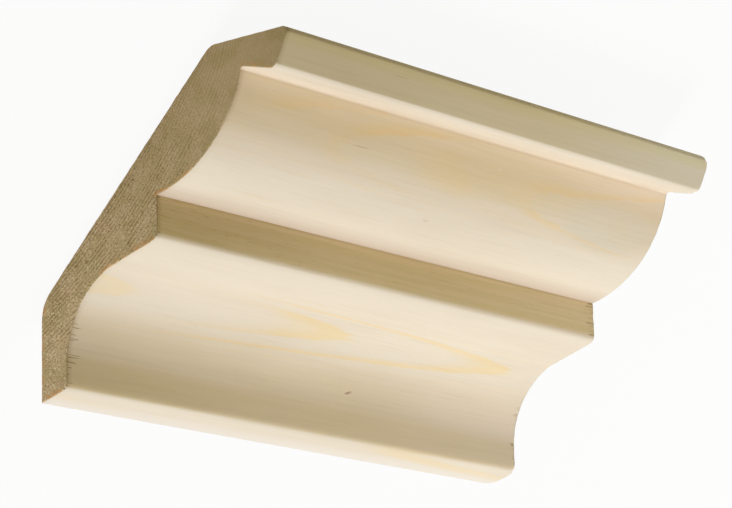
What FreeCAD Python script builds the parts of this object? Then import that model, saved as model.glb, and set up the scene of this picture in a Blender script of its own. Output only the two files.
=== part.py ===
import FreeCAD, Part
import math
import os

# Ceiling moulding: a short length of pine crown, planed to its section and sawn off at both ends.
# It is seated in the corner of a room on two narrow faces, one against the wall and one against the
# ceiling, and its flat back spans the corner behind.
#
# Frame, in millimetres: the moulding lies on its back. X runs along its length, Y from the wall edge
# to the ceiling edge, and Z up from the back to the moulded face. The origin is on the back, at the
# middle of the overall length and width.

# The stick as a whole
LENGTH = 150.0           # sawn length, measured along the wall edge
NEAR_CUT_SKEW = 1.8      # degrees that the near end is sawn out of square, the wall edge left longer
THICKNESS = 18.0         # back to the crest beside the wall edge, the highest line of the section
SPRING_ANGLE = 45.0      # degrees between the back and the wall face; the ceiling face is square to that
EDGE_HEIGHT = 14.5       # how far both outer edges, wall and ceiling, stand above the back

# Members of the face, in order from the wall edge to the ceiling edge
TOE_WIDTH = 6.3          # bevel from the wall edge up to the crest
COVE_WALL = 5.4          # straight start of the cove below the crest, plumb when it is on the wall
COVE_RADIUS = 19.6       # hollow of the cove
COVE_END_ANGLE = 20.5    # degrees the hollow climbs past its lowest line
SLOPE_RUN = 11.9         # width of the flat slope from the cove up to the fillet
FILLET_HEIGHT = 16.2     # top edge of the fillet above the back
FILLET_DROP = 6.3        # how far the fillet falls from that edge to the foot of the ovolo
OVOLO_WIDTH = 31.5       # across the ovolo, foot to foot
OVOLO_RISE = 4.8         # crown of the ovolo above its feet
LIP_STAND = 7.6          # how far the lip stands above the foot of the ovolo
LIP_RUN = 4.5            # how far the underside of the lip leans towards the ceiling edge
LIP_WIDTH = 8.6          # front of the lip

# Rounded edges, all along the length
BACK_WALL_ROUND = 8.5    # where the back meets the wall face
BACK_CEILING_ROUND = 3.5  # where the back meets the ceiling face
CEILING_EDGE_ROUND = 1.0  # outer edge of the lip
LIP_ROUND = 1.5          # lower edge of the lip's front
LIP_INNER_ROUND = 0.8    # hollow corner between the ovolo and the lip
FILLET_ROUND = 0.5       # top edge of the fillet

NODE = "crown_moulding"


def step(point, run, rise):
    """The point that lies run further across and rise higher."""
    return (point[0] + run, point[1] + rise)


def section_corners():
    """Corners of the section as (across, height), before any edge is rounded."""
    spring = math.radians(SPRING_ANGLE)
    climb = math.radians(COVE_END_ANGLE)
    corner = {}
    corner["wall_edge"] = (0.0, EDGE_HEIGHT)
    corner["back_wall"] = (EDGE_HEIGHT / math.tan(spring), 0.0)
    corner["crest"] = (TOE_WIDTH, THICKNESS)
    corner["cove_start"] = step(corner["crest"], COVE_WALL * math.cos(spring), -COVE_WALL * math.sin(spring))
    cove_centre = step(corner["cove_start"], COVE_RADIUS * math.sin(spring), COVE_RADIUS * math.cos(spring))
    corner["cove_bottom"] = step(cove_centre, 0.0, -COVE_RADIUS)
    corner["cove_end"] = step(cove_centre, COVE_RADIUS * math.sin(climb), -COVE_RADIUS * math.cos(climb))
    corner["fillet_top"] = (corner["cove_end"][0] + SLOPE_RUN, FILLET_HEIGHT)
    corner["ovolo_foot"] = step(corner["fillet_top"], FILLET_DROP / math.tan(spring), -FILLET_DROP)
    corner["ovolo_crown"] = step(corner["ovolo_foot"], OVOLO_WIDTH / 2, OVOLO_RISE)
    corner["lip_inner"] = step(corner["ovolo_foot"], OVOLO_WIDTH, 0.0)
    corner["lip_edge"] = step(corner["lip_inner"], LIP_RUN, LIP_STAND)
    corner["ceiling_edge"] = (corner["lip_edge"][0] + LIP_WIDTH, EDGE_HEIGHT)
    corner["back_ceiling"] = step(corner["ceiling_edge"], -EDGE_HEIGHT * math.tan(spring), -EDGE_HEIGHT)
    return corner


def section_face(corner):
    """The closed outline of the section, standing in the YZ plane at one end."""
    point = {name: FreeCAD.Vector(0, across, height) for name, (across, height) in corner.items()}

    def line(start, end):
        return Part.LineSegment(point[start], point[end]).toShape()

    def arc(start, middle, end):
        return Part.Arc(point[start], point[middle], point[end]).toShape()

    outline = [
        line("back_ceiling", "back_wall"),
        line("back_wall", "wall_edge"),
        line("wall_edge", "crest"),
        line("crest", "cove_start"),
        arc("cove_start", "cove_bottom", "cove_end"),
        line("cove_end", "fillet_top"),
        line("fillet_top", "ovolo_foot"),
        arc("ovolo_foot", "ovolo_crown", "lip_inner"),
        line("lip_inner", "lip_edge"),
        line("lip_edge", "ceiling_edge"),
        line("ceiling_edge", "back_ceiling"),
    ]
    return Part.Face(Part.Wire(outline))


def edge_along(solid, across_height):
    """The straight edge of the solid that runs along the length through this corner."""
    corner = Part.Vertex(FreeCAD.Vector(LENGTH / 2, *across_height))
    return min(solid.Edges, key=lambda edge: edge.distToShape(corner)[0])


def round_edges(solid, corner):
    """Round the edges that run along the length, each with its own radius."""
    rounds = {
        "back_wall": BACK_WALL_ROUND,
        "back_ceiling": BACK_CEILING_ROUND,
        "ceiling_edge": CEILING_EDGE_ROUND,
        "lip_edge": LIP_ROUND,
        "lip_inner": LIP_INNER_ROUND,
        "fillet_top": FILLET_ROUND,
    }
    for name, radius in rounds.items():
        solid = solid.makeFillet(radius, [edge_along(solid, corner[name])])
    return solid


def saw_near_end(stick, width):
    """Saw the waste off the near end, turned about the wall edge by the skew of the cut."""
    reach = 2 * width
    waste = Part.makeBox(reach, 2 * reach, 2 * THICKNESS, FreeCAD.Vector(-reach, -reach, -THICKNESS / 2))
    waste.rotate(FreeCAD.Vector(0, 0, 0), FreeCAD.Vector(0, 0, 1), -NEAR_CUT_SKEW)
    return stick.cut(waste)


def crown_moulding():
    """The moulding, lying on its back with the origin under its middle."""
    corner = section_corners()
    width = corner["ceiling_edge"][0]
    stick = section_face(corner).extrude(FreeCAD.Vector(LENGTH + width, 0, 0))
    stick = round_edges(stick, corner)
    stick.translate(FreeCAD.Vector(-width, 0, 0))
    solid = saw_near_end(stick, width).Solids[0]
    box = solid.optimalBoundingBox()
    solid.translate(FreeCAD.Vector(-box.Center.x, -box.Center.y, 0))
    return solid


os.makedirs("parts", exist_ok=True)
moulding = crown_moulding()
size = moulding.optimalBoundingBox()
print("crown moulding", round(size.XLength, 2), round(size.YLength, 2), round(size.ZLength, 2), "mm")
print("volume", round(moulding.Volume), "cubic mm, valid:", moulding.isValid())
moulding.exportStep(os.path.join("parts", NODE + ".step"))
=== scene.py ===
# %% [markdown]
# # A short length of pine crown moulding
# A crown, or ceiling moulding, is planed from one board and set across the corner between wall and
# ceiling. This lesson dresses its solid: a stick is modelled over the solid's own section, with real
# sawn ends, and gets the look of raw, freshly planed pine. It is never moved or changed: the new
# piece stands for it.

# %% Load the solid and note its box
import math

import bpy
from mathutils import Matrix, Vector


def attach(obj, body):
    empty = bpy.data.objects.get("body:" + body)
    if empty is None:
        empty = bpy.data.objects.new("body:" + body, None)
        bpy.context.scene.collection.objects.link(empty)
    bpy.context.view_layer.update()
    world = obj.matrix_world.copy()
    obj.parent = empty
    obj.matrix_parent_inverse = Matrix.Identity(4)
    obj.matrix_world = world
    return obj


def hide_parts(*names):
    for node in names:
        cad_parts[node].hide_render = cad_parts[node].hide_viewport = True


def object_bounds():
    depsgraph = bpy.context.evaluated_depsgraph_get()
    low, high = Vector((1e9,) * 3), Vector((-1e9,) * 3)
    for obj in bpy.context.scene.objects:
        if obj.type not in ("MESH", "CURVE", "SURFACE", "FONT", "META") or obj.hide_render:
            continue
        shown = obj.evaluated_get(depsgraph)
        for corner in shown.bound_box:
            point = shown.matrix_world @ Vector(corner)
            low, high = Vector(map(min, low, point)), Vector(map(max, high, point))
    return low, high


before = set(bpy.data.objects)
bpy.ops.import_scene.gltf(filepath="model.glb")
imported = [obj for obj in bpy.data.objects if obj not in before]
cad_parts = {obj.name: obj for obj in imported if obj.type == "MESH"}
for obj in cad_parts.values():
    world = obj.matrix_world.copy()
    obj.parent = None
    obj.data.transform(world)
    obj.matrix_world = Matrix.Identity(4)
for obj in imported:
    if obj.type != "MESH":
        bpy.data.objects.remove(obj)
cad_low, cad_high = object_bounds()
MM = 0.001
NODE = "crown_moulding"
print("solid's box in mm:", [round(v / MM, 2) for v in (*cad_low, *cad_high)])

# %% [markdown]
# ## Small helpers for edit mode
# An operator acts on everything that is selected. So each step below first selects exactly the
# faces or edges that it means, by a test on their place or direction, and only then calls one.

# %% Helpers that select by a test
def only(thing):
    """Select one object and nothing else."""
    bpy.ops.object.select_all(action="DESELECT")
    thing.select_set(True)
    bpy.context.view_layer.objects.active = thing


def pick(thing, kind, test):
    """In edit mode, select the vertices, edges or polygons that pass the test; returns how many."""
    bpy.ops.object.mode_set(mode="EDIT")
    modes = {"vertices": "VERT", "edges": "EDGE", "polygons": "FACE"}
    bpy.ops.mesh.select_mode(type=modes[kind])
    bpy.ops.mesh.select_all(action="DESELECT")
    bpy.ops.object.mode_set(mode="OBJECT")
    chosen = [item for item in getattr(thing.data, kind) if test(item)]
    for item in chosen:
        item.select = True
    bpy.ops.object.mode_set(mode="EDIT")
    return len(chosen)


def ends_of(thing, edge):
    """The two end points of an edge."""
    return [thing.data.vertices[i].co for i in edge.vertices]

# %% [markdown]
# ## The stick's section
# The section is what the planer's knives cut, so everything else follows from it. It could be drawn
# again as a curve, but then two outlines would have to agree. Here it is taken from the solid: a
# copy of its mesh is merged, its flat triangles are dissolved into whole faces, and all but the
# square far end is deleted. The many points of the tight round on top of the fillet become one
# corner, because that edge is eased later, together with the crest.

# %% Take the section from the solid's far end
CREST = (-40.1, 18.0)            # the two edges that are eased later, as (y, z) in mm
FILLET_TOP = (-3.66, 16.2)
TIGHT_ROUND = 0.36 * MM          # what lies nearer to the fillet's top becomes one corner
SAME_POINT = 0.001 * MM
FLAT_ENOUGH = math.radians(0.5)
SQUARE_ON = 0.99                 # x of a normal that looks straight out of the far end


def off_line(point, line):
    """How far a point is from a line along the stick that is given by its y and z in mm."""
    return math.hypot(point.y - line[0] * MM, point.z - line[1] * MM)


stick = bpy.data.objects.new("pine_crown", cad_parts[NODE].data.copy())
bpy.context.scene.collection.objects.link(stick)
only(stick)
bpy.ops.mesh.customdata_custom_splitnormals_clear()
bpy.ops.object.mode_set(mode="EDIT")
bpy.ops.mesh.select_all(action="SELECT")
bpy.ops.mesh.remove_doubles(threshold=SAME_POINT)
bpy.ops.mesh.dissolve_limited(angle_limit=FLAT_ENOUGH)
bpy.ops.object.mode_set(mode="OBJECT")
near_face = min(stick.data.polygons, key=lambda face: face.normal.x)
near_cut = Vector(near_face.normal)
near_place = Vector(near_face.center)
pick(stick, "polygons", lambda face: face.normal.x < SQUARE_ON)
bpy.ops.mesh.delete(type="FACE")
pick(stick, "vertices", lambda vertex: off_line(vertex.co, FILLET_TOP) < TIGHT_ROUND)
bpy.ops.mesh.merge(type="CENTER")
bpy.ops.object.mode_set(mode="OBJECT")
skew = math.degrees(math.atan2(near_cut.y, -near_cut.x))
print("section has", len(stick.data.vertices), "points")
print("near end is sawn", round(skew, 2), "degrees out of square")

# %% [markdown]
# ## Planing and sawing
# The section is extruded past the near end and cut back with a bisect, as the saw does. The two
# end faces come off for now, because the next steps work on an open tube, whose edge normals point
# straight out of the wood.

# %% Extrude the section and saw the near end
OVERSHOOT = 1.2  # how far the section is drawn out, in lengths of the stick


def is_sawn(face):
    """Whether a face looks along the stick, as only those of a saw cut do."""
    return abs(face.normal.x) > 0.5


length = cad_high.x - cad_low.x
bpy.ops.object.mode_set(mode="EDIT")
bpy.ops.mesh.select_all(action="SELECT")
bpy.ops.mesh.extrude_region_move(TRANSFORM_OT_translate={"value": (-OVERSHOOT * length, 0, 0)})
bpy.ops.mesh.select_all(action="SELECT")
bpy.ops.mesh.bisect(plane_co=near_place, plane_no=near_cut, clear_outer=True)
pick(stick, "polygons", is_sawn)
bpy.ops.mesh.delete(type="ONLY_FACE")
bpy.ops.object.mode_set(mode="OBJECT")
print("open stick:", len(stick.data.polygons), "long faces")

# %% [markdown]
# ## Cuts across the grain
# Wear and torn fibres sit within a few millimetres of a saw cut, so there the stick needs short
# faces; along the middle a few long ones will do. Each bisect adds one ring of edges. By a cut it is
# parallel to that cut, and along the middle the slant fades from the one cut's to the other's.

# %% Cross rings, close together by the saw cuts
RING_DEPTHS = [0.35, 0.8, 1.4, 2.2, 3.2, 4.5, 6.5, 9.5]  # mm in from a saw cut
MIDDLE_RINGS = 13
far_cut = Vector((1, 0, 0))
far_place = Vector((cad_high.x, 0, 0))


def cut_ring(point, outward):
    """Add a ring of edges where the plane through this point meets the stick."""
    bpy.ops.mesh.select_all(action="SELECT")
    bpy.ops.mesh.bisect(plane_co=point, plane_no=outward)


bpy.ops.object.mode_set(mode="EDIT")
for inward in RING_DEPTHS:
    cut_ring(near_place - near_cut * inward * MM, near_cut)
    cut_ring(far_place - far_cut * inward * MM, far_cut)
half = length / 2 - RING_DEPTHS[-1] * MM
for step in range(1, MIDDLE_RINGS):
    share = step / MIDDLE_RINGS
    cut_ring(Vector(((2 * share - 1) * half, 0, 0)), near_cut.lerp(-far_cut, share))
bpy.ops.object.mode_set(mode="OBJECT")
print("stick with cross rings:", len(stick.data.polygons), "faces")

# %% [markdown]
# ## Finer faces round the section
# The solid's curves are a row of flats about 2 mm wide. A smooth subdivide puts new points on the
# arc between two flats, because it follows the vertex normals. It needs the sharp corners parted
# first, or their averaged normals would bulge the flats beside them. Flat stretches are divided
# plainly, so that every face along a saw cut ends up under 1 mm.

# %% Divide the curved and the flat stretches
SHARP = math.radians(25)           # corners sharper than this stay corners
CURVE_STEP = (1.2 * MM, 2.5 * MM)  # an edge of this width belongs to a curve
FLAT_STEP = 0.7 * MM               # about the width that flat stretches are divided into
ALONG_SHARE = 0.05


def lies_across(edge):
    """Whether an edge lies across the stick: next to none of its length is along it."""
    start, end = ends_of(stick, edge)
    return abs((end - start).x) < ALONG_SHARE * (end - start).length


def width(edge):
    """The length of an edge, which is the width of the faces beside it."""
    start, end = ends_of(stick, edge)
    return (end - start).length


bpy.ops.object.mode_set(mode="EDIT")
bpy.ops.mesh.select_mode(type="EDGE")
bpy.ops.mesh.select_all(action="DESELECT")
bpy.ops.mesh.edges_select_sharp(sharpness=SHARP)
bpy.ops.mesh.edge_split(type="EDGE")
pick(stick, "edges", lambda edge: lies_across(edge) and CURVE_STEP[0] < width(edge) < CURVE_STEP[1])
bpy.ops.mesh.subdivide(number_cuts=2, smoothness=1.0)
bpy.ops.object.mode_set(mode="OBJECT")
counts = {round(width(edge) / FLAT_STEP) for edge in stick.data.edges if lies_across(edge)}
for count in sorted(counts - {0, 1}):
    pick(stick, "edges", lambda edge: lies_across(edge) and round(width(edge) / FLAT_STEP) == count)
    bpy.ops.mesh.subdivide(number_cuts=count - 1)
bpy.ops.mesh.select_all(action="SELECT")
bpy.ops.mesh.remove_doubles(threshold=SAME_POINT)
bpy.ops.object.mode_set(mode="OBJECT")
print("finely divided stick:", len(stick.data.polygons), "faces")

# %% [markdown]
# ## Eased edges
# Sandpaper takes the sharpness off the two edges that stand proud on the face: the crest and the top
# of the fillet. A bevel would leave two new lines where its round meets the flats. Smoothing the
# points near the edge fades out instead. It works on the height and width alone, so the rings stay
# where they are along the stick.

# %% Ease the crest and the top of the fillet
EASED_REACH = 2.2 * MM
EASED_PASSES = 22
EASED_FACTOR = 0.5

for line in (CREST, FILLET_TOP):
    pick(stick, "edges", lambda edge: lies_across(edge) and width(edge) > FLAT_STEP / 2
         and all(off_line(point, line) < EASED_REACH for point in ends_of(stick, edge)))
    bpy.ops.mesh.subdivide(number_cuts=1)
    eased = pick(stick, "vertices", lambda vertex: off_line(vertex.co, line) < EASED_REACH)
    bpy.ops.mesh.vertices_smooth(factor=EASED_FACTOR, repeat=EASED_PASSES, xaxis=False)
    bpy.ops.object.mode_set(mode="OBJECT")
    print("edge at", line, "eased over", eased, "points")

# %% [markdown]
# ## The two saw cuts
# A saw leaves a flat face with a soft arris, because the last fibres along its edge break out. The
# open ends are closed with one face each. An inset sets a narrow band round each face, which becomes
# the arris, and bisects part the rest into small squares, so that the sawn wood has real faces too.
# All but the new face is hidden meanwhile: a bisect cuts only what is selected, and `select_all`
# leaves hidden faces out.

# %% Close the ends, band them and part them into squares
ARRIS = 0.16 * MM       # width of the outer band, which breaks out
INNER_BAND = 0.7 * MM   # width of the band inside it
END_SQUARE = 1.5 * MM
IN_CUT = 0.04 * MM      # a point nearer to a cut's plane than this lies in it
cuts = {"near": (near_place, near_cut), "far": (far_place, far_cut)}


def in_cut(point, end):
    """Whether a point lies in the plane of a saw cut."""
    middle, outward = cuts[end]
    return abs((point - middle).dot(outward)) < IN_CUT


def part_into_squares():
    """Bisect what is visible by a grid of planes along the width and the height."""
    for axis, normal in ((1, Vector((0, 1, 0))), (2, Vector((0, 0, 1)))):
        for count in range(1, int((cad_high[axis] - cad_low[axis]) / END_SQUARE)):
            bpy.ops.mesh.select_all(action="SELECT")
            bpy.ops.mesh.bisect(plane_co=cad_low + normal * count * END_SQUARE, plane_no=normal)


for end in cuts:
    pick(stick, "edges", lambda edge: all(in_cut(point, end) for point in ends_of(stick, edge)))
    bpy.ops.mesh.edge_face_add()
bpy.ops.mesh.select_all(action="SELECT")
bpy.ops.mesh.normals_make_consistent(inside=False)
for end in cuts:
    pick(stick, "polygons", lambda face: is_sawn(face) and in_cut(face.center, end))
    bpy.ops.mesh.inset(thickness=ARRIS, depth=0, use_even_offset=True)
    bpy.ops.mesh.inset(thickness=INNER_BAND, depth=0, use_even_offset=True)
    bpy.ops.mesh.hide(unselected=True)
    part_into_squares()
    bpy.ops.mesh.reveal(select=False)
bpy.ops.object.mode_set(mode="OBJECT")
print("closed stick:", len(stick.data.polygons), "faces")

# %% [markdown]
# ## Broken arrises
# The outermost loop of each cut is pushed back into the wood by a Displace modifier. Its texture is
# fine noise, so that the edge breaks unevenly, by up to a third of a millimetre, and its vertex group
# holds only that loop. It goes inwards only, because the piece must stay inside the solid's box.

# %% Push the outer loop of each saw cut back
BREAK = 0.34 * MM
CHIP_SIZE = 1.3 * MM
chips = bpy.data.textures.new("chips", type="CLOUDS")
chips.noise_scale = CHIP_SIZE
chips.noise_depth = 2
only(stick)
for end, (middle, outward) in cuts.items():
    cut_points = {v for face in stick.data.polygons if in_cut(face.center, end) for v in face.vertices}
    long_points = {v for face in stick.data.polygons if not is_sawn(face) for v in face.vertices}
    outer = cut_points & long_points
    group = stick.vertex_groups.new(name=end + " arris")
    group.add(sorted(outer), 1.0, "REPLACE")
    wear = stick.modifiers.new(end + " wear", "DISPLACE")
    wear.texture = chips
    wear.texture_coords = "LOCAL"
    wear.vertex_group = group.name
    wear.direction = "X"
    wear.mid_level = 0
    wear.strength = -BREAK if outward.x > 0 else BREAK
    bpy.ops.object.modifier_apply(modifier=wear.name)
    print(end, "arris:", len(outer), "points pushed back")

# %% [markdown]
# ## Knocked corners
# Corners that stick out are worn round by handling. One corner point is moved, and proportional
# editing takes its neighbours along. The sharp falloff, a square, leaves a round corner when the
# point moves about a third of the falloff's size.

# %% Wear the corners that stick out
CEILING_EDGE = (46.2, 14.4)
LIP_EDGE = (38.2, 17.2)
WALL_EDGE = (-46.4, 14.5)
KNOCKS = [  # end, corner as (y, z), where it moves to, and over what length, all in mm
    ("far", WALL_EDGE, (-0.5, 0.55, 0.25), 3.0),
    ("far", CREST, (-0.25, 0.0, -0.25), 1.5),
    ("far", CEILING_EDGE, (-0.9, -0.45, 0.0), 2.6),
    ("far", LIP_EDGE, (-0.55, 0.1, -0.3), 2.0),
    ("near", CEILING_EDGE, (0.2, -0.25, 0.0), 1.4),
]
for end, (corner_y, corner_z), push, size in KNOCKS:
    middle, outward = cuts[end]
    target = Vector((middle.x, corner_y * MM, corner_z * MM))
    target -= outward * (target - middle).dot(outward)
    corner = min((v.co for v in stick.data.vertices), key=lambda point: (point - target).length).copy()
    pick(stick, "vertices", lambda vertex: (vertex.co - corner).length < SAME_POINT)
    bpy.ops.transform.translate(value=Vector(push) * MM, use_proportional_edit=True,
                                proportional_edit_falloff="SHARP", proportional_size=size * MM)
    bpy.ops.object.mode_set(mode="OBJECT")
    worn = round(Vector(push).length, 2)
    print(end, "corner at", [round(v / MM, 1) for v in corner], "worn by", worn, "mm")

# %% [markdown]
# ## Smooth curves, crisp corners
# The curves are shaded smooth and the corners stay crisp. The piece now stands for the solid and
# rides on its body.

# %% Shade the stick and hand it over
bpy.ops.object.shade_smooth_by_angle(angle=SHARP)
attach(stick, "root")
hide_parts(NODE)
print(stick.name, "stands for", NODE)

# %% [markdown]
# ## Shader maths as plain sums
# A wood is easier to write as sums than as wires. This small class wraps one socket of a node. Each
# operator adds one Math node, so `1 - mask` works as it reads, and `node` adds any other node.

# %% A class that wraps a socket
class Value:
    """One output of a shader node. A sum or product of Values adds its own Math node."""

    def __init__(self, output):
        self.output = output

    def node(self, kind, settings, sockets, result=0):
        """Add a node of this type; its settings are set first, then its sockets."""
        made = self.output.id_data.nodes.new("ShaderNode" + kind)
        for name, setting in settings.items():
            if name == "curve":
                draw_curve(made, setting)
            else:
                setattr(made, name, setting)
        for socket, given in sockets.items():
            if isinstance(given, Value):
                made.id_data.links.new(given.output, made.inputs[socket])
            else:
                made.inputs[socket].default_value = given
        return Value(made.outputs[result])

    def maths(self, operation, *others):
        """Add a Math node that works on this value and others."""
        return self.node("Math", {"operation": operation}, dict(enumerate((self, *others))))

    def __add__(self, other):
        return self.maths("ADD", other)

    def __sub__(self, other):
        return self.maths("SUBTRACT", other)

    def __rsub__(self, other):
        return self.maths("MULTIPLY_ADD", -1, other)

    def __mul__(self, other):
        return self.maths("MULTIPLY", other)

    def __pow__(self, other):
        return self.maths("POWER", other)

    __radd__ = __add__
    __rmul__ = __mul__

    def fraction(self):
        """What is left over after the whole number."""
        return self.maths("FRACT")

    def rise(self, low, high):
        """0 below low, 1 above high and a smooth step between."""
        sockets = {"Value": self, "From Min": low, "From Max": high}
        return self.node("MapRange", {"interpolation_type": "SMOOTHSTEP"}, sockets)

    def window(self, low, high, soft):
        """1 between low and high, with soft edges, and 0 outside."""
        return self.rise(low - soft, low) * (1 - self.rise(high, high + soft))

    def vector(self, operation, other):
        """Add a Vector Math node, number by number."""
        return self.node("VectorMath", {"operation": operation}, {0: self, 1: other})

    def parts(self):
        """The three numbers of a vector."""
        separated = self.node("SeparateXYZ", {}, {0: self}).output.node
        return [Value(output) for output in separated.outputs]

    def noise(self, size, detail=2, shift=0.0):
        """Noise from 0 to 1 with grains of this size along x, y and z."""
        scaled = self.vector("MULTIPLY", [1 / length for length in size])
        sockets = {"Vector": scaled.vector("ADD", [shift] * 3), "Scale": 1, "Detail": detail}
        return self.node("TexNoise", {}, sockets)

    def mix(self, low, high):
        """The colour low where this value is 0, the colour high where it is 1."""
        return self.node("Mix", {"data_type": "RGBA"}, {0: self, 6: low, 7: high}, result=2)

    def tint(self, colour, amount):
        """This colour, multiplied by another as far as the amount says."""
        settings = {"data_type": "RGBA", "blend_type": "MULTIPLY"}
        return self.node("Mix", settings, {0: amount, 6: self, 7: colour}, result=2)


def draw_curve(made, points):
    """Set a Float Curve node to straight runs through these points."""
    curve = made.mapping.curves[0]
    for at, height in points[1:-1]:
        curve.points.new(at, height)
    for point, location in zip(curve.points, points):
        point.location = location
        point.handle_type = "VECTOR"
    made.mapping.update()

# %% [markdown]
# ## A material's start
# Every finish here starts from Object coordinates. The piece lies in its own mesh, so these are its
# real place in metres, and the grain runs through the wood as it does in a real stick: the pattern
# on the face and the rings on the sawn end are one and the same field. The maths is in millimetres.

# %% Begin a finish
WALL_EDGE_Y = cad_low.y / MM  # the way across the face is counted from here, in mm


def begin(name, specular):
    """A new material: its shader, and the place on the piece in mm."""
    made = bpy.data.materials.new(name)
    made.use_nodes = True
    shader = made.node_tree.nodes["Principled BSDF"]
    shader.inputs["Specular IOR Level"].default_value = specular
    coordinates = Value(made.node_tree.nodes.new("ShaderNodeTexCoord").outputs["Object"])
    return made, shader, coordinates.vector("MULTIPLY", [1 / MM] * 3)


def report(made):
    """Print how far a finish has grown."""
    print(made.name, "has", len(made.node_tree.nodes), "nodes so far")


def give(shader, socket, value):
    """Link a value to a socket of the shader."""
    value.output.id_data.links.new(value.output, shader.inputs[socket])


def bump(height, depth):
    """A normal from a height of 0 to 1 that stands for this depth in mm."""
    return height.node("Bump", {}, {"Height": height, "Distance": depth * MM})

# %% [markdown]
# ## Growth rings
# The stick was cut near the outside of a log, with the bark side up, so its rings are flat arches
# over the back. `depth` grows from ring to ring towards the bark. The log tapers, so the rings lean
# a little along the stick, and where the planed face just touches a ring, its late wood comes out as
# a long pointed tongue. Because it only just touches, a fifth of a millimetre in depth moves a
# tongue's edge by several on the face: a shallow dent in the rings bends one arm of a tongue.

# %% Rings as a field through the wood
ARCH_MIDDLE = 42.0                    # mm from the wall edge, where the rings lie level
ARCH_RADIUS = 128.0                   # mm, of the rings' arch
STEEP_SIDE = 68.0                     # mm from the wall edge, where the arch steepens
STEEPNESS = 0.001 / 3
STEEP_MIDDLE, STEEP_LOSS = 1.15, 0.006  # its share half-way along, and what it loses per mm
LEAN = 0.0158                         # rise of the rings along the stick
WANDER, RAGGED = 0.22, 0.2            # mm, how far the rings stray slowly and quickly
DENT = 0.19                           # mm, on the ovolo near the far end


def ring_depth(place):
    """How far out in the log a place is, in mm."""
    x, y, z = place.parts()
    across = y - WALL_EDGE_Y
    arch = (across - ARCH_MIDDLE) ** 2 * (0.5 / ARCH_RADIUS)
    beyond = (across - STEEP_SIDE).maths("MAXIMUM", 0)
    steep = beyond ** 3 * STEEPNESS * (STEEP_MIDDLE - x * STEEP_LOSS)
    wander = place.noise((70, 9, 9), detail=1, shift=3.7) - 0.5
    ragged = place.noise((12, 0.5, 0.5), detail=2, shift=6.6) - 0.5
    dent = x.window(50, 64, 24) * across.window(74.5, 77.5, 3) * DENT
    return z + arch + steep - dent + x * LEAN + wander * WANDER + ragged * RAGGED

# %% [markdown]
# ## From depth to years
# Years differ in width, so a Float Curve maps the depth to a count of years. Each point on it is the
# end of a year whose tongue shows, in the cove first and then on the ovolo. A curve node works from
# 0 to 1, so both the depth and the count go in as a share of their range.

# %% Count the years
TONGUE_YEARS = [  # depth in mm, count of years
    (8.547, 11), (9.684, 12), (10.601, 13), (14.0, 17),
    (16.75, 23), (17.4, 24), (17.72, 25), (18.348, 26),
]
DEPTH_FLOOR, DEPTH_RANGE = -2.0, 34.0  # mm, that the curve covers
MOST_YEARS = 64.0
WIDE_YEAR, NARROW_YEAR = 0.8, 0.45     # mm, the years below and above those points


def years(depth):
    """The count of years at a depth."""
    first, last = TONGUE_YEARS[0], TONGUE_YEARS[-1]
    deepest = (DEPTH_FLOOR, first[1] - (first[0] - DEPTH_FLOOR) / WIDE_YEAR)
    top = DEPTH_FLOOR + DEPTH_RANGE
    outermost = (top, last[1] + (top - last[0]) / NARROW_YEAR)
    points = [((at - DEPTH_FLOOR) / DEPTH_RANGE, count / MOST_YEARS)
              for at, count in (deepest, *TONGUE_YEARS, outermost)]
    share = (depth - DEPTH_FLOOR) * (1 / DEPTH_RANGE)
    return depth.node("FloatCurve", {"curve": points}, {"Value": share}) * MOST_YEARS


print(len(TONGUE_YEARS), "ends of years are placed by hand")

# %% [markdown]
# ## Planed pine
# Freshly planed pine is matt and cream, and its late wood is a clear orange that lets light in, so
# it is no darker than the rest, only deeper in colour. It fills the last part of every year. Where
# the face runs along the rings, as it does on the ovolo, the late wood lies broader.

# %% Late wood of every year
LATE_START, LATE_FULL, LATE_END = 0.55, 0.92, 0.94  # shares of a year
OVOLO_EARLIER = 0.3                                 # how much sooner it starts on the ovolo
pine, shader, place = begin("planed pine", specular=0.25)
x, y = place.parts()[:2]
across = y - WALL_EDGE_Y
depth = ring_depth(place)
grown = years(depth).fraction()
late_start = LATE_START - across.rise(50, 60) * OVOLO_EARLIER
late = grown.rise(late_start, LATE_FULL) * (1 - grown.rise(LATE_END, 1.0))
print("late wood starts at", LATE_START, "of a year, and", OVOLO_EARLIER, "sooner on the ovolo")

# %% [markdown]
# ## Soft spots
# No two years are alike, so the strength of the late wood is set by soft patches, given by their
# place on the stick. A spot is an ellipsoid: the way from its middle is divided by its reach, so the
# length of that vector is 1 on its skin. A patch is a spot so tall that height doesn't count.

# %% A spot in the wood and a patch on its face
SPOT_CORE = 0.45    # share of its reach within which a spot is whole
FACE_HEIGHT = 14.0  # mm
ANY_HEIGHT = 99.0   # mm


def spot(middle, reach):
    """1 round a place, falling softly to 0 at this reach along x, y and z."""
    away = place.vector("SUBTRACT", middle).vector("DIVIDE", reach)
    distance = away.node("VectorMath", {"operation": "LENGTH"}, {0: away}, result=1)
    return 1 - distance.rise(SPOT_CORE, 1)


def patch(along, out, long, wide):
    """A spot by its middle, along the stick and out from the wall edge, and its reach, in mm."""
    return spot((along, out + WALL_EDGE_Y, FACE_HEIGHT), (long, wide, ANY_HEIGHT))

# %% [markdown]
# ## Tongues in the cove and on the toe
# In the cove the late wood of three years shows as tongues, one inside the other, that point to the
# far end. Their tips are strong and their arms fade towards the near end. On the toe two years come
# out as long bands, each at one end of the stick.

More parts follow.
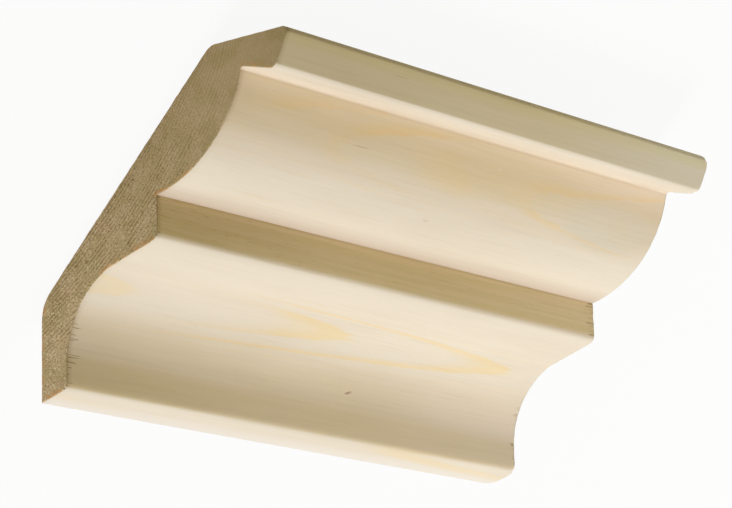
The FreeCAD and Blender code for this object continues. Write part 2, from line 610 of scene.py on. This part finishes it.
# %% Where the cove and the toe show late wood
COVE_STRENGTH, TOE_RIGHT, TOE_LEFT = 0.74, 0.5, 0.2
near_tip = (1 - x.rise(-66, -56)) * across.window(23, 29, 3) * 0.6
tips = x.window(-14, 12, 12).maths("MAXIMUM", near_tip)
wall_side = (26 - across).maths("MAXIMUM", 0) * 5
arms = (x + wall_side + across.rise(28, 31) * 8).rise(-34, 14)
arms = arms * (0.35 + x.rise(-58, -36) * 0.65)
cove_tongues = depth.window(8.3, 10.9, 0.5) * across.window(16.5, 36, 4) * tips.maths("MAXIMUM", arms)
toe_right = depth.window(22.95, 23.25, 0.3) * x.rise(15, 34) * TOE_RIGHT
toe_left = depth.window(20.9, 21.1, 0.25) * (1 - x.rise(-62, -45)) * TOE_LEFT
toe = (toe_right + toe_left) * (1 - across.rise(6, 7.5))
report(pine)

# %% [markdown]
# ## Tongues on the ovolo
# The ovolo shows tongues of its own, partly strong and partly hardly seen. Each patch below lifts
# one tip or one piece of an arm. Between the tongues lies one broad patch that is warm all over, so
# it is added outside the late wood too.

# %% Where the ovolo shows late wood
EVERYWHERE, OVOLO_MORE, BROAD = 0.05, 0.05, 0.24
PATCHES = [  # middle along the stick and out from the wall edge, reach of each in mm, and strength
    (-23, 66.0, 14, 3.0, 0.15), (-37, 71.0, 7, 5.0, 0.2), (-18, 76.6, 26, 4.5, 0.6),
    (-50, 76.8, 16, 3.6, 0.4), (-2, 70.5, 15, 4.6, 0.36), (24, 70.0, 9, 4.5, 0.25),
    (38, 67.8, 15, 2.6, 0.5), (58, 65.6, 17, 2.4, 0.4), (34, 74.7, 15, 2.4, 0.5),
    (51, 76.2, 16, 1.7, 0.5), (68, 78.2, 13, 1.9, 0.45), (61, 70.0, 6, 4.0, 0.1),
]
ovolo = across.window(52, 80, 4) * (1 - x.rise(20, 60))
strength = cove_tongues * COVE_STRENGTH + EVERYWHERE + ovolo * OVOLO_MORE
for along, out, long, wide, amount in PATCHES:
    strength += patch(along, out, long, wide) * amount
broad = patch(11, 72.2, 27, 4.6) * BROAD
late_wood = late * strength + broad * (1 - late) + toe
print(len(PATCHES), "patches of late wood on the ovolo")

# %% [markdown]
# ## Cream, late wood and fibres
# Large soft patches and long fibres break up the cream. A tint multiplies the colour by a pale one,
# so the tongues below it stay in sight.

# %% The wood's own colour
CREAM = (0.915, 0.825, 0.70, 1)
HONEY = (0.955, 0.775, 0.465, 1)
MOTTLED = (0.955, 0.945, 0.93, 1)
FIBROUS = (0.965, 0.95, 0.925, 1)
colour = late_wood.mix(CREAM, HONEY)
mottle = place.noise((60, 10, 10), detail=2, shift=8.1)
colour = colour.tint(MOTTLED, mottle.rise(0.35, 0.7))
fibre = place.noise((26, 0.6, 0.6), detail=3, shift=1.3)
colour = colour.tint(FIBROUS, fibre.rise(0.45, 0.8))
report(pine)

# %% [markdown]
# ## Faces that lean to the ceiling
# The faces that lean to the ceiling, as the fillet and the wall of the cove do, cut across the rings:
# there the late wood is a close, fine line. They also turn from the key lamp, and their half shade is
# painted in: yellower, and darker still towards the near end. `lean` says how far a face leans so, by
# its normal, and `fillet` picks that one face out.

# %% Paint half shade on the leaning faces
# colours of painted half shade on the faces that lean to the ceiling
LEAN_SHADE_NEAR = (1, 0.955, 0.87, 1)
LEAN_SHADE_FAR = (1, 0.965, 0.955, 1)
NEAR_END_SHADE = (0.935, 0.92, 0.893, 1)
STREAKED = (0.93, 0.94, 0.83, 1)
normal = Value(pine.node_tree.nodes.new("ShaderNodeNewGeometry").outputs["Normal"])
facing, upward = normal.parts()[1:]
lean = facing.rise(0.05, 0.45)
fillet = across.window(43.2, 55.2, 0.4) * facing.rise(0.5, 0.7)
near_side = 1 - x.rise(-72, -5)
to_far = x.rise(5, 75)
# painted shade: the leaning faces, which turn from the key lamp, are tinted yellower, and darker still
# towards the near end
colour = (lean * to_far).mix(colour.tint(LEAN_SHADE_NEAR, lean), colour.tint(LEAN_SHADE_FAR, lean))
colour = colour.tint(NEAR_END_SHADE, lean * near_side)
streaks = place.noise((34, 0.9, 0.9), detail=2, shift=7.3)
colour = colour.tint(STREAKED, streaks.rise(0.42, 0.62) * (lean * 0.25 + fillet * 0.5))
report(pine)

# %% [markdown]
# ## The fillet, the shoulder beside the crest, and the toe
# The fillet is the deepest in colour, partly because it is cut most squarely across the rings and
# partly as painted shade, which also darkens its near end and its foot. The shoulder between the crest
# and the cove is painted a little yellower than the cove, as light glows through the crest, and the
# upward edge of the toe is mixed to a paler pink, as a painted highlight.

# %% Paint shade on the fillet, glow on the shoulder and a highlight on the toe
FILLET_TONE_AND_SHADE = (0.99, 0.93, 0.7, 1)
FILLET_NEAR_SHADE = (0.9, 0.88, 0.82, 1)
FILLET_FOOT_SHADE = (0.95, 0.93, 0.93, 1)
SHOULDER_GLOW = (1, 0.98, 0.84, 1)
HIGHLIGHT_PINK = (0.955, 0.89, 0.82, 1)
# the fillet's deeper colour: partly its own, across the rings, and partly painted shade
colour = colour.tint(FILLET_TONE_AND_SHADE, fillet)
# painted shade: the fillet darker towards the near end
colour = colour.tint(FILLET_NEAR_SHADE, fillet * near_side * (1 - across.rise(47.6, 49)))
# painted light: the cove wall just past the crest is tinted yellower, for light that glows through the
# crest, strongest towards the near end
glow_past_crest = lean * across.window(6.3, 10, 2.5) * (0.6 + near_side * 0.4)
colour = colour.tint(SHOULDER_GLOW, glow_past_crest)
# painted highlight: the upward edge of the toe is mixed to a paler pink
toe_highlight = (1 - across.rise(0.5, 4)) * upward.rise(0, 0.5) * 0.75
colour = toe_highlight.mix(colour, HIGHLIGHT_PINK)
# painted shade: the fillet darker towards its foot, by the hollow corner
colour = colour.tint(FILLET_FOOT_SHADE, fillet * across.rise(44.5, 48))
report(pine)

# %% [markdown]
# ## The ovolo and its two hollow corners
# The hollow corners at both feet of the ovolo are painted a little darker than the rest, as shade.
# The slope towards the lip turns from the key lamp, and its shade is painted warmer than the crown,
# except inside the tongue at the far end: there the early wood is paler and greyer.

# %% Paint shade on the ovolo and tint its tongue
FILLET_CORNER_SHADE = (0.78, 0.73, 0.72, 1)
LIP_CORNER_SHADE = (0.93, 0.9, 0.88, 1)
SLOPE_SHADE = (0.955, 0.925, 0.885, 1)
SLOPE_SHADE_DEEPER = (0.96, 0.955, 0.9, 1)
PALE_EARLY = (0.895, 0.895, 0.87, 1)
# painted shade: the hollow corner between the fillet and the ovolo is darker
colour = colour.tint(FILLET_CORNER_SHADE, across.rise(48.6, 49.2) * (1 - across.rise(48.9, 54.5)))
inside_tongue = patch(58, 69.8, 22, 7)
# painted shade: the slope that turns from the key lamp is tinted warmer
colour = colour.tint(SLOPE_SHADE, across.window(67, 76, 6) * (1 - inside_tongue))
colour = colour.tint(SLOPE_SHADE_DEEPER, across.window(71, 75, 4) * (1 - inside_tongue))
colour = colour.tint(PALE_EARLY, inside_tongue)
# painted shade: the hollow corner under the lip is darker
colour = colour.tint(LIP_CORNER_SHADE, across.window(80.0, 81.0, 0.5))
report(pine)

# %% [markdown]
# ## The lip and the ceiling face
# The front of the lip is greener and deeper than the face: partly its own tone, and partly painted
# shade, as it turns from the key lamp, deeper towards the near end and yellower along its outer edge.
# The ceiling face behind it is painted darker still, as shade. It is told by its normal, not by a band
# across the stick, so that no line shows on the round between the two. Short dark ducts are strewn
# everywhere.

# %% Paint shade on the lip and the ceiling face, and add the ducts
LIP_TONE_AND_SHADE_NEAR = (0.8, 0.785, 0.67, 1)
LIP_TONE_AND_SHADE_FAR = (0.85, 0.875, 0.85, 1)
LIP_EDGE_SHADE = (0.97, 0.97, 0.84, 1)
CEILING_SHADE_TINT = (0.86, 0.84, 0.765, 1)
DUCT = (0.78, 0.7, 0.56, 1)
lip = across.window(83.6, 95, 1.0) * facing.rise(0.1, 0.3)
# the lip's own deeper tone, with painted shade that grows towards the near end
colour = (lip * to_far).mix(colour.tint(LIP_TONE_AND_SHADE_NEAR, lip), colour.tint(LIP_TONE_AND_SHADE_FAR, lip))
# painted shade: the lip's outer edge, which turns from the light, is yellower
colour = colour.tint(LIP_EDGE_SHADE, lip * across.rise(89.5, 91.6))
# painted shade: faces that look to the ceiling side are darker
ceiling_shade = across.rise(60, 70) * facing.rise(0.45, 0.7) * (1 - upward.rise(-0.3, 0.4))
colour = colour.tint(CEILING_SHADE_TINT, ceiling_shade)
ducts = place.noise((3.2, 0.22, 0.22), detail=0, shift=5.9).rise(0.7, 0.78)
colour = colour.tint(DUCT, ducts * (0.1 + fillet * (0.2 + near_side * 0.4)))
report(pine)

# %% [markdown]
# ## Torn fibres
# The saw tears bundles of fibres out behind each cut. `tear` is a length of its own for every
# bundle, because this noise is stretched so far along the stick that it hardly changes there, and a
# place is torn when it is nearer to the cut than that. The arris itself is browned a little too, and a
# band up to 2 mm behind the near cut is darkened as painted shade, most on the leaning faces.

# %% Tears, browning and painted shade behind the saw cuts
LONGEST_TEAR = 12   # mm, for a noise of 1
NO_TEAR = 0.36      # the noise below which a bundle stays whole
TORN_AND_SHADED = (0.5, 0.42, 0.27, 1)
near_depth = (x - near_place.x / MM) * -near_cut.x + (y - near_place.y / MM) * -near_cut.y
far_depth = cad_high.x / MM - x
bundle = place.noise((400, 0.3, 0.3), detail=1, shift=2.9).rise(0.5, 0.6)
tear = (place.noise((400, 0.8, 0.8), detail=1, shift=7.7) - NO_TEAR) * LONGEST_TEAR
tear = tear * (1 - across.rise(17, 44) * 0.6)
far_tear = tear * (0.5 + fillet * 2.6)
torn = (tear - near_depth).rise(0, 0.5) * 0.9 + (far_tear - far_depth).rise(0, 0.4) * 0.7
torn = torn * bundle * lean
edge_depth = near_depth.maths("MINIMUM", far_depth)
# browning at the very arris, and painted shade in a band up to 2 mm behind the near cut
arris = (1 - edge_depth.rise(0.15, 0.5)) * 0.6 + (1 - near_depth.rise(0.2, 2)) * 0.4
colour = colour.tint(TORN_AND_SHADED, torn.maths("MAXIMUM", arris * (0.2 + lean * 0.7)))
report(pine)

# %% [markdown]
# ## Small marks, and the finish put together
# A few flecks and scratches finish the face. Late wood is a little glossier than the rest, because
# it is denser, and the planer's knives leave fine grooves along the fibres, which a bump stands for.

# %% Marks, roughness and grooves
DARK_MARKS = [  # middle and reach along x, y and z in mm, and how dark
    ((13.3, -32.3, 11.12), (0.8, 0.32, 0.35), 0.5), ((13.9, -32.1, 11.02), (0.8, 0.32, 0.35), 0.6),
    ((14.5, -31.9, 10.9), (0.7, 0.3, 0.35), 0.4), ((-31.5, 26.0, 13.65), (3.6, 0.14, 0.4), 0.3),
    ((-35, 44.0, 15.63), (2.6, 0.14, 0.4), 0.22), ((-0.5, 13.9, 14.34), (1.4, 0.5, 0.6), 0.14),
]
PALE_MARKS = [((14, 29.2, 12.54), (0.9, 0.3, 0.4), 0.3), ((-39.5, -2.87, 15.6), (3.4, 0.25, 0.4), 0.3)]
DARK_MARK = (0.45, 0.27, 0.12, 1)
PALE_MARK = (0.93, 0.87, 0.76, 1)
PINE_ROUGHNESS, LATE_GLOSS, FIBRE_ROUGHNESS = 0.72, 0.08, 0.1
GROOVE_DEPTH = 0.03  # mm
for middle, reach, amount in DARK_MARKS:
    colour = colour.tint(DARK_MARK, spot(middle, reach) * amount)
for middle, reach, amount in PALE_MARKS:
    colour = (spot(middle, reach) * amount).mix(colour, PALE_MARK)
give(shader, "Base Color", colour)
give(shader, "Roughness", PINE_ROUGHNESS - late_wood * LATE_GLOSS + fibre * FIBRE_ROUGHNESS)
grooves = fibre * 0.7 + place.noise((9, 0.25, 0.25), detail=2, shift=2.2) * 0.3 - torn * 0.8
give(shader, "Normal", bump(grooves, GROOVE_DEPTH))
print(len(DARK_MARKS), "dark and", len(PALE_MARKS), "pale marks on the face")

# %% [markdown]
# ## Sawn end grain
# Across the end the same rings are cut square. Sawn end grain is darker than a face, because light
# runs down the open fibres, and rough: pale tufts and dark pores are strewn all over it, and the
# rings show through in some places and are torn over in others.

# %% Rings, tufts and pores on a saw cut
EARLY_SAWN = (0.76, 0.6, 0.375, 1)
LATE_SAWN = (0.47, 0.34, 0.175, 1)
TUFT = (1, 0.87, 0.62, 1)
PORE = (0.52, 0.43, 0.33, 1)
end_grain, shader, place = begin("sawn end grain", specular=0.15)
across = place.parts()[1] - WALL_EDGE_Y
grown = years(ring_depth(place)).fraction()
late = grown.rise(0.4, 0.85) * (1 - grown.rise(0.95, 1.0))
clear = place.noise((9, 6, 3), detail=2, shift=3.1).rise(0.38, 0.62)
clear = clear * (0.75 - across.rise(40, 70) * 0.5) + 0.25
colour = (late * clear).mix(EARLY_SAWN, LATE_SAWN)
tufts = place.noise((5, 0.3, 0.5), detail=2, shift=4.4)
tufted = tufts.rise(0.54, 0.66) * (1 - across.rise(6, 50) * 0.45 - across.rise(60, 85) * 0.3)
colour = tufted.mix(colour, TUFT)
pores = place.noise((5, 0.33, 0.33), detail=2, shift=9.2)
colour = colour.tint(PORE, pores.rise(0.54, 0.68) * (0.9 - across.rise(45, 80) * 0.65))
report(end_grain)

# %% [markdown]
# ## Painted shade and scorched edges of a saw cut
# The cut is painted darker towards the ceiling side, as shade, and it is cloudy. The saw also
# scorches and lifts the wood a little along the edge that it leaves last. That edge is painted by an
# attribute of the points, `fringe`, which a later cell fills in.

# %% Shade and scorch the saw cuts
SAWN_CEILING_SHADE = (0.85, 0.84, 0.8, 1)
SAWN_CEILING_EDGE_SHADE = (0.87, 0.86, 0.82, 1)
CLOUDED = (0.9, 0.92, 0.84, 1)
SCORCHED = (0.74, 0.42, 0.18, 1)
END_ROUGHNESS = 0.9
TUFT_HEIGHT = 0.09  # mm
# painted shade: the saw cut darker towards the ceiling side
colour = colour.tint(SAWN_CEILING_SHADE, across.rise(8, 75))
colour = colour.tint(SAWN_CEILING_EDGE_SHADE, across.rise(72, 92))
colour = colour.tint(CLOUDED, place.noise((20, 5, 5), detail=1, shift=5.5).rise(0.4, 0.6))
attribute = end_grain.node_tree.nodes.new("ShaderNodeAttribute")
attribute.attribute_name = "fringe"
fringe = Value(attribute.outputs["Fac"])
scorch = fringe.rise(0.2, 0.9) * place.noise((5, 1.2, 1.2), detail=2, shift=6.1).rise(0.4, 0.62) * 0.85
colour = scorch.mix(colour, SCORCHED)
give(shader, "Base Color", colour)
shader.inputs["Roughness"].default_value = END_ROUGHNESS
give(shader, "Normal", bump(tufts * 0.6 + pores * -0.5 + late * -0.2, TUFT_HEIGHT))
report(end_grain)

# %% [markdown]
# ## Which face gets which finish
# The sawn faces are told by their normal. The fringe is 1 on the very edge towards the wall side and
# falls to 0 a little way in: each point of a cut takes it from the nearest point of its outline.

# %% Paint the fringe and give each face its finish
FRINGE_REACH = 1.8 * MM
TO_WALL_GAIN = 2.5  # in full where the outline's normal leans 1 / 2.5 or more to the wall side
stick.data.materials.clear()
stick.data.materials.append(pine)
stick.data.materials.append(end_grain)
for face in stick.data.polygons:
    face.material_index = 1 if is_sawn(face) else 0
sawn = [face for face in stick.data.polygons if face.material_index == 1]
planed = [face for face in stick.data.polygons if face.material_index == 0]
end_points = {v for face in sawn for v in face.vertices}
rim = [(stick.data.vertices[v].co, face.normal.y)
       for face in planed for v in face.vertices if v in end_points]
painted = stick.data.attributes.new("fringe", "FLOAT", "POINT")
for v in end_points:
    point = stick.data.vertices[v].co
    distance, sideways = min(((point - at).length, side) for at, side in rim)
    to_wall = min(1.0, max(0.0, -TO_WALL_GAIN * sideways))
    painted.data[v].value = max(0.0, 1.0 - distance / FRINGE_REACH) * to_wall
print(len(sawn), "sawn faces,", len(planed), "planed faces")

# %% [markdown]
# ## Camera
# A camera looks along its own -Z with +Y up. Its matrix is built from three directions, which keeps
# the roll of the picture: the moulding is shown turned, as it runs under a ceiling.

# %% Set the camera
LENS = 183.05        # mm, on Blender's own film width
CLIP = (0.05, 10)    # m, nearest and farthest that is shown
PLACE = Vector((-608.84, 214.99, 485.16)) * MM
RIGHT = Vector((0.63498, 0.5201, 0.57122))
DOWN = Vector((0.15682, -0.81081, 0.56392))
FORWARD = Vector((0.75644, -0.2685, -0.59641))
camera = bpy.data.objects.new("camera", bpy.data.cameras.new("camera"))
bpy.context.scene.collection.objects.link(camera)
camera.matrix_world = Matrix.Translation(PLACE) @ Matrix((RIGHT, -DOWN, -FORWARD)).transposed().to_4x4()
camera.data.lens = LENS
camera.data.clip_start, camera.data.clip_end = CLIP
bpy.context.scene.camera = camera
print("camera stands", round(PLACE.length, 3), "m from the moulding")

# %% [markdown]
# ## Floor
# The floor is a plain pale sheet. To the camera it is mostly an even white, with the real, shaded
# floor mixed in, so that the background stays white and still holds the moulding's soft shadow.
# A mirror or a glass would see the same. To every other ray it is the plain sheet alone, so the
# white adds no light to the wood.

# %% Lay the floor
FLOOR_WHITE = 0.92         # share of even white that the camera sees
SHEET_GREY = (0.8, 0.8, 0.8, 1)
SHEET_ROUGHNESS = 0.9
bpy.ops.object.select_all(action="DESELECT")
bpy.ops.mesh.primitive_plane_add(size=6)
floor = bpy.context.object
floor.name = "floor"
sheet = bpy.data.materials.new("pale sheet")
sheet.use_nodes = True
tree = sheet.node_tree
matt = tree.nodes["Principled BSDF"]
matt.inputs["Base Color"].default_value = SHEET_GREY
matt.inputs["Roughness"].default_value = SHEET_ROUGHNESS
light_path = tree.nodes.new("ShaderNodeLightPath")
camera_ray, glossy_ray, clear_ray = (
    Value(light_path.outputs[name]) for name in ("Is Camera Ray", "Is Glossy Ray", "Is Transmission Ray"))
seen = (camera_ray + glossy_ray + clear_ray).maths("MINIMUM", 1)
white = seen.node("Emission", {}, {"Color": (1, 1, 1, 1), "Strength": 1})
plain = Value(matt.outputs[0])
surface = seen.node("MixShader", {}, {0: seen * FLOOR_WHITE, 1: plain, 2: white})
tree.links.new(surface.output, tree.nodes["Material Output"].inputs["Surface"])
floor.data.materials.append(sheet)

# %% [markdown]
# ## Light
# One large soft lamp gives the moulding its form: it stands half-way up on the wall side, so that the
# faces that lean to the wall are bright and the fillet and the wall of the cove are in half shade.
# Weak lamps and an even world fill the shade. A lamp's level here is the brightness that it gives a
# white surface facing it: a lamp of power P, d metres away, lights that to `P / (pi * d) ** 2`.

# %% Place the lamps
LAMPS = {
    # name: (place of the lamp in mm, width in mm, level, colour)
    "key": ((0, -1030, 1225), 700, 0.67, (1, 1, 1)),
    "far_end": ((600, 60, 220), 400, 0.51, (1, 0.965, 0.87)),
    "far_fill": ((420, 380, 360), 300, 0.08, (1, 0.95, 0.8)),
    "near_fill": ((-1500, -160, 450), 900, 0.2, (1, 0.93, 0.78)),
}
WORLD_LEVEL = 0.11
WORLD_COLOUR = (1, 0.9, 0.65, 1)
for name, (stand, lamp_width, level, light) in LAMPS.items():
    lamp = bpy.data.lights.new(name, "AREA")
    lamp.size = lamp_width * MM
    toward = Vector(stand) * MM
    lamp.energy = level * (math.pi * toward.length) ** 2
    lamp.color = light
    holder = bpy.data.objects.new(name, lamp)
    bpy.context.scene.collection.objects.link(holder)
    holder.location = toward
    holder.rotation_euler = toward.to_track_quat("Z", "Y").to_euler()
    print(name, "lamp", round(lamp.energy, 2), "W")
world = bpy.data.worlds.new("room")
world.use_nodes = True
backdrop = world.node_tree.nodes["Background"]
backdrop.inputs["Color"].default_value = WORLD_COLOUR
backdrop.inputs["Strength"].default_value = WORLD_LEVEL
bpy.context.scene.world = world
bpy.context.scene.view_settings.view_transform = "Standard"
